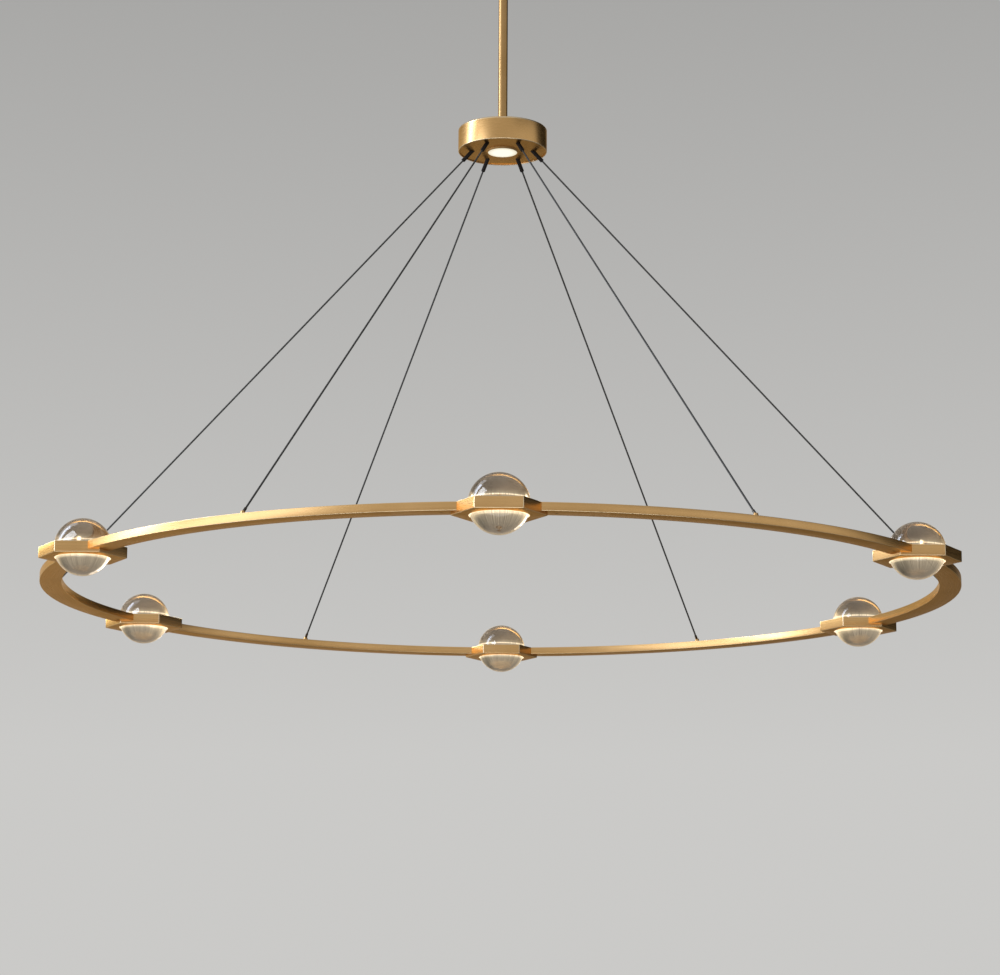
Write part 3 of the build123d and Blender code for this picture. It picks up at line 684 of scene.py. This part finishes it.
def show(context, bm, name, slot, nodes=(), make=None):
    """Makes the mesh a shown piece that rides on the pendant and stands for CAD nodes."""
    bmesh.ops.recalc_face_normals(bm, faces=bm.faces)
    for face in bm.faces:
        face.smooth = True
    for edge in bm.edges:
        edge.smooth = edge.calc_face_angle(0.0) < SMOOTH_ANGLE
    mesh = bpy.data.meshes.new(name)
    bm.to_mesh(mesh)
    bm.free()
    mesh.materials.append(finish_for(context, make or FINISHES[slot]))
    piece = bpy.data.objects.new(name, mesh)
    context.scene.collection.objects.link(piece)
    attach(piece, PENDANT)
    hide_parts(*nodes)


def show_each(context, build, place, first, name, slot, node):
    """Shows a piece of the ring at each of its six places."""
    for number in NUMBERS:
        bm = build(context.scene.chandelier_ring)
        put(bm, place, first + STEP * (number - 1))
        show(context, bm, f"{name}_{number}", slot, [f"{node}_{number}"])


def at_light(ring):
    """From a light's own axis to its place on the ring at angle 0."""
    return Matrix.Translation((ring.radius, 0.0, RING_TOP))


def at_cable(cable, ring):
    """From a cable's own axis, starting at the hub plate and pointing up, to its place at angle 0."""
    leave, land = cable_ends(cable, ring)
    up = (leave - land).normalized()
    return Matrix.Translation(leave) @ up.to_track_quat("Z", "Y").to_matrix().to_4x4()


def cable_ends(cable, ring):
    """Where the cable at angle 0 leaves the hub plate and where it lands on the ring."""
    leave = Vector((cable.exit_radius, 0.0, PLATE_BOTTOM))
    land = Vector((ring.radius, 0.0, RING_TOP + cable.ring_rise))
    return leave, land


def cut_bar_end(bm, ring, side):
    """Notches one end of the bar to the corner of the hexagon at that side."""
    angle = side * STEP / 2
    out = Vector((cos(angle), sin(angle), 0.0))
    along = Vector((-sin(angle), cos(angle), 0.0)) * side
    corner = out * ring.radius - along * ring.hex_side
    slants = [(-along * cos(HALF_SIDE) + out * way * sin(HALF_SIDE)).normalized() for way in (1, -1)]

    def own_faces(way):
        return [f for f in bm.faces if (f.calc_center_median() - corner).dot(out) * way > 0.0
                and f.calc_center_median().y * side > 0.0]

    def with_parts(faces):
        edges = {e for f in faces for e in f.edges}
        verts = {v for f in faces for v in f.verts}
        return list(verts) + list(edges) + faces

    end = [f for f in bm.faces if f.calc_center_median().y * side > 0.0]
    bmesh.ops.bisect_plane(bm, geom=with_parts(end), dist=MERGED, plane_co=corner, plane_no=out)
    for way, slant in zip((1, -1), slants):
        start = corner + slant * ring.butt_gap
        bmesh.ops.bisect_plane(
            bm, geom=with_parts(own_faces(way)), dist=MERGED, plane_co=start, plane_no=slant
        )
        inside = [f for f in own_faces(way) if (f.calc_center_median() - start).dot(slant) < 0.0]
        bmesh.ops.delete(bm, geom=inside, context="FACES")
    bmesh.ops.remove_doubles(bm, verts=bm.verts, dist=NEAR)
    close_bar_end(bm, corner, out, side)


def close_bar_end(bm, corner, out, side):
    """Fills the two flats of a notched end."""
    rim = [e for e in bm.edges if e.is_boundary and e.verts[0].co.y * side > 0.0]
    middle = [v for v in {v for e in rim for v in e.verts} if abs((v.co - corner).dot(out)) < NEAR]
    spine = bm.edges.new(middle)
    for way in (1, -1):
        flat = [e for e in rim if sum((v.co - corner).dot(out) for v in e.verts) * way > 0.0]
        bmesh.ops.edgeloop_fill(bm, edges=flat + [spine])


def bar_mesh(ring):
    """One bar at angle 0: a rounded rectangle spun about the ring's axis, notched at both ends."""
    bm = new_mesh()
    inner, outer = ring.radius - ring.bar_width / 2, ring.radius + ring.bar_width / 2
    corners = rectangle(inner, outer, RING_TOP - ring.bar_height, RING_TOP)
    verts = [bm.verts.new((radius, 0.0, height)) for radius, height in corners]
    edges = [bm.edges.new(pair) for pair in zip(verts, verts[1:] + verts[:1])]
    put(bm, Matrix.Identity(4), -STEP / 2)
    spin(bm, verts + edges, STEP, BAR_STEPS)
    bmesh.ops.recalc_face_normals(bm, faces=bm.faces)
    long_edges = [e for radius, height in corners for e in rim_edges(bm, radius, height)]
    round_edges(bm, long_edges, ring.bar_edge, 3)
    for side in (-1, 1):
        cut_bar_end(bm, ring, side)
    return bm


def hexagon_mesh(ring):
    """One frame about its own axis: a rounded hexagon with the stepped bore of the ball."""
    bm = new_mesh()
    lip_top = ring.lip_height - ring.hex_height
    section = (
        (ring.lip_radius, -ring.hex_height), (ring.lip_radius, lip_top), (ring.channel_radius, lip_top),
        (ring.channel_radius, -ring.diffuser_height), (ring.ledge_radius, -ring.diffuser_height),
        (ring.ledge_radius, 0.0), (ring.hex_side, 0.0), (ring.hex_side, -ring.hex_height),
    )
    spin_round(bm, section, HEXAGON_STEPS)
    for vert in bm.verts:
        flat = vert.co.to_2d()
        if abs(flat.length - ring.hex_side) < NEAR:
            around = flat.angle_signed(Vector((1.0, 0.0)))
            off_flat = (around + HALF_SIDE) % (2 * HALF_SIDE) - HALF_SIDE
            flat *= cos(HALF_SIDE) / cos(off_flat)
            vert.co.x, vert.co.y = flat
    bmesh.ops.recalc_face_normals(bm, faces=bm.faces)
    edges = [e for e in bm.edges if e.calc_face_angle(0.0) > CORNER_ANGLE and is_outside(e, ring)]
    round_edges(bm, edges, ring.hex_edge, 3)
    return bm


def is_outside(edge, ring):
    """Whether an edge of the hexagon lies outside its bore."""
    return all(hypot(v.co.x, v.co.y) > ring.ledge_radius + ring.hex_edge for v in edge.verts)


def over_led(vert, ring):
    """How nearly a point about a ball's axis faces an LED, from 0 to 1."""
    flat = vert.co.to_2d()
    return 0.5 + 0.5 * cos(flat.angle_signed(Vector((1.0, 0.0)), 0.0) * ring.led_count)


def in_girdle(height, ring):
    """How far the ball is in its ground band at that height from its middle, from 0 to 1."""
    below_top = (ring.girdle_fade - ring.girdle_top - height) / (2 * ring.girdle_fade)
    above_bottom = 1.0 + (height + ring.girdle_bottom) / ring.cap_fade
    return max(0.0, min(1.0, below_top, above_bottom))


def fading(distance, reach):
    """Falls from 1 to 0 over a distance either way."""
    return max(0.0, 1.0 - abs(distance) / reach)


def how_lit(vert, ring):
    """How much of the LEDs' light leaves the ball at a point about its middle, from 0 to 1."""
    height = vert.co.z
    above_line, below_girdle = height - ring.line_height, -ring.girdle_bottom - height
    foot = fading(below_girdle, ring.girdle_bottom - ring.girdle_top)
    band = GIRDLE_GLOW * in_girdle(height, ring) * max(UPPER_SHARE, foot)
    if above_line > 0.0:
        band += HALO_GLOW * fading(above_line, ring.halo_height)
    if below_girdle > 0.0:
        band += VEIL_GLOW * fading(below_girdle, ring.veil_depth)
    line = LINE_GLOW * fading(above_line, ring.line_width)
    from_spark = min(
        (vert.co - turned_point(ring.ball_radius, angle, ring.line_height)).length for angle in SPARK_ANGLES
    )
    spark = exp(-0.5 * (from_spark / ring.spark_size) ** 2)
    return min(1.0, band + max(line, spark))


def turned_point(radius, angle, height):
    """Point of a ball about its own middle, at that height and angle about the Z axis."""
    flat = sqrt(radius**2 - height**2)
    return Vector((flat * cos(angle), flat * sin(angle), height))


def ball_mesh(ring):
    """One ball about its own centre, ground at the waist."""
    bm = new_mesh()
    pole = bm.verts.new((0.0, 0.0, -ring.ball_radius))
    spin(bm, [pole], pi, BALL_STEPS_UP, axis=(0, -1, 0))
    spin(bm, bm.verts[:] + bm.edges[:], 2 * pi, BALL_STEPS_ROUND, use_merge=True)
    bmesh.ops.remove_doubles(bm, verts=bm.verts, dist=NEAR)
    ground, glow = bm.verts.layers.float[GROUND_LAYER], bm.verts.layers.float[GLOW_LAYER]
    around = bm.verts.layers.float_vector[AROUND_LAYER]
    for vert in bm.verts:
        haze = CAP_GROUND if vert.co.z < -ring.girdle_bottom else 0.0
        vert[ground] = max(haze, in_girdle(vert.co.z, ring))
        vert[glow] = how_lit(vert, ring)
        vert[around] = Vector((vert.co.x, vert.co.y, 0.0)).normalized()
    return bm


def rings_about_balls(ring, profile, rims=()):
    """A turned ring about each ball's axis with rounded rims, brighter over each LED."""
    bm = new_mesh()
    spin_round(bm, profile, STEPS_PER_LED * ring.led_count)
    for radius, height, offset in rims:
        round_edges(bm, rim_edges(bm, radius, height), offset, 2)
    spot = bm.verts.layers.float[SPOT_LAYER]
    for vert in bm.verts:
        vert[spot] = over_led(vert, ring)
    put(bm, at_light(ring), FIRST_LIGHT)
    copies_round(bm, LIGHT_COUNT)
    return bm


def led_mesh(ring):
    """LEDs of all balls, facing inwards from their strips."""
    bm = new_mesh()
    chip = Matrix.Diagonal((ring.led_depth, ring.led_length, ring.led_height, 1.0))
    bmesh.ops.create_cube(bm, size=1.0, matrix=chip)
    round_edges(bm, bm.edges[:], ring.led_depth / 4, 1)
    away = ring.channel_radius - ring.strip_thickness - 2 * FIT - ring.led_depth / 2
    middle = -(ring.hex_height - ring.lip_height) / 2
    bmesh.ops.translate(bm, verts=bm.verts, vec=(away, 0.0, middle))
    copies_round(bm, ring.led_count)
    put(bm, at_light(ring), FIRST_LIGHT)
    copies_round(bm, LIGHT_COUNT)
    return bm


class CHANDELIER_OT_bars(bpy.types.Operator):
    """Six curved brass bars of the ring"""

    bl_idname = "chandelier.bars"
    bl_label = "Curved bars"

    def execute(self, context):
        show_each(context, bar_mesh, Matrix.Identity(4), FIRST_BAR, "curved_bar", "satin_brass", "arc_bar")
        return {"FINISHED"}


class CHANDELIER_OT_hexagons(bpy.types.Operator):
    """Six hexagonal frames that carry the balls"""

    bl_idname = "chandelier.hexagons"
    bl_label = "Hexagonal frames"

    def execute(self, context):
        place = at_light(context.scene.chandelier_ring)
        show_each(context, hexagon_mesh, place, FIRST_LIGHT, "hexagon", "satin_brass", "hex_frame")
        return {"FINISHED"}


class CHANDELIER_OT_balls(bpy.types.Operator):
    """Six crystal balls with a ground band at the waist"""

    bl_idname = "chandelier.balls"
    bl_label = "Crystal balls"

    def execute(self, context):
        place = at_light(context.scene.chandelier_ring)
        show_each(context, ball_mesh, place, FIRST_LIGHT, "crystal", "crystal", "crystal_ball")
        return {"FINISHED"}


class CHANDELIER_OT_light_rings(bpy.types.Operator):
    """LED strips, opal rings and silicone seats under the balls"""

    bl_idname = "chandelier.light_rings"
    bl_label = "Light rings"

    def execute(self, context):
        ring = context.scene.chandelier_ring
        outer, inner = ring.ledge_radius - FIT, ring.ball_radius + ring.ball_gap
        profile = rectangle(inner, outer, -ring.diffuser_height, 0.0)
        rims = ((outer, 0.0, ring.diffuser_edge), (inner, 0.0, ring.diffuser_bore_edge))
        bm = rings_about_balls(ring, profile, rims)
        show(context, bm, "opal_rings", "opal_diffuser", ["diffuser_rings"])

        foot, lip_top = -ring.hex_height, ring.lip_height - ring.hex_height
        seat_top = lip_top + ring.seat_height
        flange, skirt = ring.channel_radius - FIT, ring.lip_radius - FIT
        outside = ((skirt, foot), (skirt, lip_top), (flange, lip_top), (flange, seat_top))
        inside = tuple(
            (sqrt(ring.ball_radius**2 - height**2) + FIT, height) for height in (seat_top, lip_top, foot)
        )
        bm = rings_about_balls(ring, outside + inside)
        show(context, bm, "silicone_seats", "clear_silicone", ["seat_rings"])

        profile = rectangle(flange - ring.strip_thickness, flange, seat_top, seat_top + ring.strip_height)
        bm = rings_about_balls(ring, profile)
        show(context, bm, "led_strips", "circuit_board", ["led_rings"])
        show(context, led_mesh(ring), "led_windows", "circuit_board", make=led_material)
        return {"FINISHED"}


class CHANDELIER_OT_hub(bpy.types.Operator):
    """Stem, hub drum and lit lens"""

    bl_idname = "chandelier.hub"
    bl_label = "Stem and hub"

    def execute(self, context):
        hub = context.scene.chandelier_hub
        stem_bore, bore = hub.stem_radius - hub.stem_wall, hub.hub_radius - hub.hub_wall
        ceiling = HUB_TOP - hub.hub_roof
        bm = new_mesh()
        spin_round(bm, ((stem_bore, HUB_TOP), (hub.hub_radius, HUB_TOP), (hub.hub_radius, HUB_BOTTOM),
                        (bore, HUB_BOTTOM), (bore, ceiling), (stem_bore, ceiling)), HUB_STEPS)
        round_edges(bm, rim_edges(bm, hub.hub_radius, HUB_TOP), hub.top_round, 5)
        round_edges(bm, rim_edges(bm, hub.hub_radius, HUB_BOTTOM), hub.rim_round, 4)
        round_edges(bm, rim_edges(bm, bore, HUB_BOTTOM), hub.inner_round, 2)
        show(context, bm, "hub_drum", "satin_brass", ["hub_housing"])

        bm = new_mesh()
        spin_round(bm, rectangle(stem_bore, hub.stem_radius, STEM_BOTTOM, STEM_TOP), STEM_STEPS)
        show(context, bm, "stem_tube", "satin_brass", ["stem"], tube_material)

        bm = new_mesh()
        flange, flange_low = hub.lens_radius + hub.flange_width, PLATE_TOP - hub.flange_height
        face = tuple(
            (hub.lens_radius * out, LENS_BOTTOM + hub.lens_dome * rise) for out, rise in LENS_FACE
        )
        back = ((hub.lens_radius, flange_low), (flange, flange_low), (flange, PLATE_TOP), (0.0, PLATE_TOP))
        rim = LENS_BOTTOM + hub.lens_dome
        spin_round(bm, face + back, LENS_STEPS, closed=False)
        round_edges(bm, rim_edges(bm, hub.lens_radius, rim), hub.lens_edge, 3)
        show(context, bm, "lit_lens", "frosted_lens", ["downlight_lens"])

        bm = new_mesh()
        inner, outer = hub.lens_radius + FIT, hub.lens_radius + hub.bezel_width
        spin_round(bm, ((inner, rim), (inner + hub.lens_edge, rim), (outer, PLATE_BOTTOM - FIT),
                        (inner, PLATE_BOTTOM - FIT)), LENS_STEPS)
        round_edges(bm, rim_edges(bm, inner + hub.lens_edge, rim), hub.lens_edge / 2, 2)
        show(context, bm, "lens_bezel", "satin_brass")
        return {"FINISHED"}


class CHANDELIER_OT_cables(bpy.types.Operator):
    """Six taut cables and their sleeves"""

    bl_idname = "chandelier.cables"
    bl_label = "Cables"

    def execute(self, context):
        cable, ring = context.scene.chandelier_cable, context.scene.chandelier_ring
        leave, land = cable_ends(cable, ring)
        up = (leave - land).normalized()
        points = [leave + up * cable.above_exit, leave, land + up * cable.lower_hold, land]
        for number in NUMBERS:
            turned = Matrix.Rotation(FIRST_BAR + STEP * (number - 1), 3, "Z")
            curve = bpy.data.curves.new(f"cable_line_{number}", "CURVE")
            curve.dimensions = "3D"
            curve.bevel_depth = cable.radius
            curve.bevel_resolution = 4
            curve.use_fill_caps = True
            spline = curve.splines.new("NURBS")
            spline.points.add(len(points) - 1)
            for spline_point, point in zip(spline.points, points):
                spline_point.co = (*(turned @ point), 1.0)
            spline.order_u = 3
            spline.use_endpoint_u = True
            curve.materials.append(finish_for(context, cable_material))
            piece = bpy.data.objects.new(f"cable_line_{number}", curve)
            context.scene.collection.objects.link(piece)
            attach(piece, PENDANT)
            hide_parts(f"cable_{number}")

        bm = new_mesh()
        low, bore = -cable.sleeve_length, cable.radius + FIT
        spin_round(bm, rectangle(bore, cable.sleeve_radius, low, cable.sleeve_inside), SLEEVE_STEPS)
        round_edges(bm, rim_edges(bm, cable.sleeve_radius, low), cable.sleeve_edge, 3)
        put(bm, at_cable(cable, ring), FIRST_BAR)
        copies_round(bm, LIGHT_COUNT)
        show(context, bm, "hub_sleeves", "black_sleeve", ["cable_sleeves"])
        return {"FINISHED"}


class CHANDELIER_OT_fittings(bpy.types.Operator):
    """Finishes of the canopy, swivel, fasteners and other carried-over pieces"""

    bl_idname = "chandelier.fittings"
    bl_label = "Fittings"

    def execute(self, context):
        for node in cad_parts.values():
            for slot in node.material_slots:
                slot.material = finish_for(context, FINISHES[slot.material.name.split(".")[0]])
        return {"FINISHED"}


class CHANDELIER_OT_stage(bpy.types.Operator):
    """Pale floor and surroundings, soft lamps and the camera"""

    bl_idname = "chandelier.stage"
    bl_label = "Stage"

    def execute(self, context):
        stage = context.scene.chandelier_stage
        self.add_floor(context, stage)
        self.add_world(context, stage)
        self.add_lamps(context)
        self.add_camera(context)
        context.scene.view_settings.view_transform = "Standard"
        return {"FINISHED"}

    def add_floor(self, context, stage):
        """Round floor, clear from below, with painted shade near the object and painted light to the left,
        that turns to the backdrop's colour far out.
        """
        bm = bmesh.new()
        bmesh.ops.create_circle(bm, cap_ends=True, segments=FLOOR_STEPS, radius=stage.floor_radius)
        bmesh.ops.translate(bm, verts=bm.verts, vec=(0.0, 0.0, -stage.floor_depth))
        mesh = bpy.data.meshes.new("floor")
        bm.to_mesh(mesh)
        bm.free()
        material, tree, shader = new_material("pale_floor")
        place = coordinates(tree)
        reach, across = length_of(tree, place), split(tree, place)[0]
        # Painted shade near the object and painted light at the left, as shares of the floor's colour
        share = times(tree, scaled(tree, reach, *FLOOR_PAINTED_SHADE_OUTWARDS), scaled(tree, across, *FLOOR_PAINTED_LIGHT_ACROSS))
        colour = mixed(tree, share, rgba(stage.floor_colour, 0.0), rgba(stage.floor_colour, FLOOR_GAIN))
        far_out = scaled(tree, reach, *FLOOR_HORIZON)
        colour = mixed(tree, far_out, colour, rgba(stage.backdrop, HORIZON_GAIN))
        wire(tree, shader, Base_Color=colour, Roughness=0.8)
        below = add_node(tree, "ShaderNodeNewGeometry").outputs["Backfacing"]
        clear = add_node(tree, "ShaderNodeBsdfTransparent").outputs[0]
        either = add_node(tree, "ShaderNodeMixShader", {0: below, 1: shader.outputs[0], 2: clear})
        tree.links.new(either.outputs[0], tree.nodes["Material Output"].inputs["Surface"])
        mesh.materials.append(material)
        floor = bpy.data.objects.new("floor", mesh)
        context.scene.collection.objects.link(floor)

    def add_world(self, context, stage):
        """Plain surroundings, brightest at the left, with dim parts for the brass to mirror."""
        world = bpy.data.worlds.new("studio")
        world.use_nodes = True
        tree = world.node_tree
        way = coordinates(tree, "Generated")
        right, back, up = split(tree, way)
        slanted = plus(tree, back, times(tree, up, BACK_SLANT))
        bright = add_node(tree, "ShaderNodeVectorMath", {0: way, 1: BRIGHT_WAY}, operation="DOT_PRODUCT")
        share = scaled(tree, bright.outputs["Value"], *BRIGHT_RAMP)
        share = times(tree, share, scaled(tree, right, *RIGHT_RAMP))
        dim_parts = (
            (right, slanted, DIM_BACK_RIGHT), (right, up, DIM_UPPER_RIGHT), (back, up, DIM_UPPER_BACK)
        )
        for one, other, ramps in dim_parts:
            dim = times(tree, scaled(tree, one, *ramps[0]), scaled(tree, other, *ramps[1]))
            share = times(tree, share, rest_of(tree, dim))
        inputs = {0: stage.backdrop, "Scale": share}
        colour = add_node(tree, "ShaderNodeVectorMath", inputs, operation="SCALE").outputs[0]
        tree.links.new(colour, tree.nodes["Background"].inputs["Color"])
        context.scene.world = world

    def add_lamps(self, context):
        """Soft lamps that the camera doesn't see. Some light only the balls or only the hexagons."""
        groups = {}
        for group, pieces in LAMP_GROUPS.items():
            groups[group] = bpy.data.collections.new(group)
            for number in NUMBERS:
                groups[group].objects.link(bpy.data.objects[f"{pieces}_{number}"])
        lamps = {}
        for name, (place, sides, power, colour, group) in LAMPS.items():
            data = bpy.data.lights.new(name, "AREA")
            data.shape = "RECTANGLE"
            data.size, data.size_y = sides
            data.energy = power
            data.color = colour
            lamp = lamps[name] = bpy.data.objects.new(name, data)
            lamp.location = place
            lamp.rotation_euler = (LAMP_AIM - Vector(place)).to_track_quat("-Z", "Z").to_euler()
            lamp.visible_camera = False
            context.scene.collection.objects.link(lamp)
            if group:
                lamp.light_linking.receiver_collection = groups[group]
        lamps["low_lamp"].rotation_euler = (pi, 0.0, 0.0)
        lamps["glint_lamp"].visible_transmission = False

    def add_camera(self, context):
        yaw, pitch, roll = CAMERA_TURNS
        ahead = Vector((sin(yaw) * cos(pitch), cos(yaw) * cos(pitch), sin(pitch)))
        level = Vector((cos(yaw), -sin(yaw), 0.0))
        upright = level.cross(ahead)
        right = level * cos(roll) + upright * sin(roll)
        up = upright * cos(roll) - level * sin(roll)
        data = bpy.data.cameras.new("camera")
        data.lens, data.sensor_width = CAMERA_LENS, SENSOR_WIDTH
        camera = bpy.data.objects.new("camera", data)
        matrix = Matrix((right, up, -ahead)).transposed().to_4x4()
        matrix.translation = CAMERA_PLACE
        camera.matrix_world = matrix
        context.scene.collection.objects.link(camera)
        context.scene.camera = camera


class CHANDELIER_PT_panel(bpy.types.Panel):
    """Sizes, colours and steps of the chandelier"""

    bl_label = "Chandelier"
    bl_idname = "CHANDELIER_PT_panel"
    bl_space_type = "VIEW_3D"
    bl_region_type = "UI"
    bl_category = "Chandelier"

    def draw(self, context):
        for name, group in GROUPS.items():
            box = self.layout.box()
            box.label(text=group.__doc__)
            settings = getattr(context.scene, name)
            for key in group.__annotations__:
                box.prop(settings, key)
        for operator in OPERATORS:
            self.layout.operator(operator.bl_idname)


GROUPS = {
    "chandelier_ring": RingSizes,
    "chandelier_hub": HubSizes,
    "chandelier_cable": CableSizes,
    "chandelier_finishes": Finishes,
    "chandelier_stage": StageSizes,
}
OPERATORS = (
    CHANDELIER_OT_fittings,
    CHANDELIER_OT_bars,
    CHANDELIER_OT_hexagons,
    CHANDELIER_OT_balls,
    CHANDELIER_OT_light_rings,
    CHANDELIER_OT_hub,
    CHANDELIER_OT_cables,
    CHANDELIER_OT_stage,
)


def register():
    for made in (*GROUPS.values(), *OPERATORS, CHANDELIER_PT_panel):
        bpy.utils.register_class(made)
    for name, group in GROUPS.items():
        setattr(bpy.types.Scene, name, PointerProperty(type=group))


def unregister():
    for name in GROUPS:
        delattr(bpy.types.Scene, name)
    for made in reversed((*GROUPS.values(), *OPERATORS, CHANDELIER_PT_panel)):
        bpy.utils.unregister_class(made)


def main():
    register()
    bpy.ops.chandelier.fittings()
    bpy.ops.chandelier.bars()
    bpy.ops.chandelier.hexagons()
    bpy.ops.chandelier.balls()
    bpy.ops.chandelier.light_rings()
    bpy.ops.chandelier.hub()
    bpy.ops.chandelier.cables()
    bpy.ops.chandelier.stage()


if __name__ == "__main__":
    main()
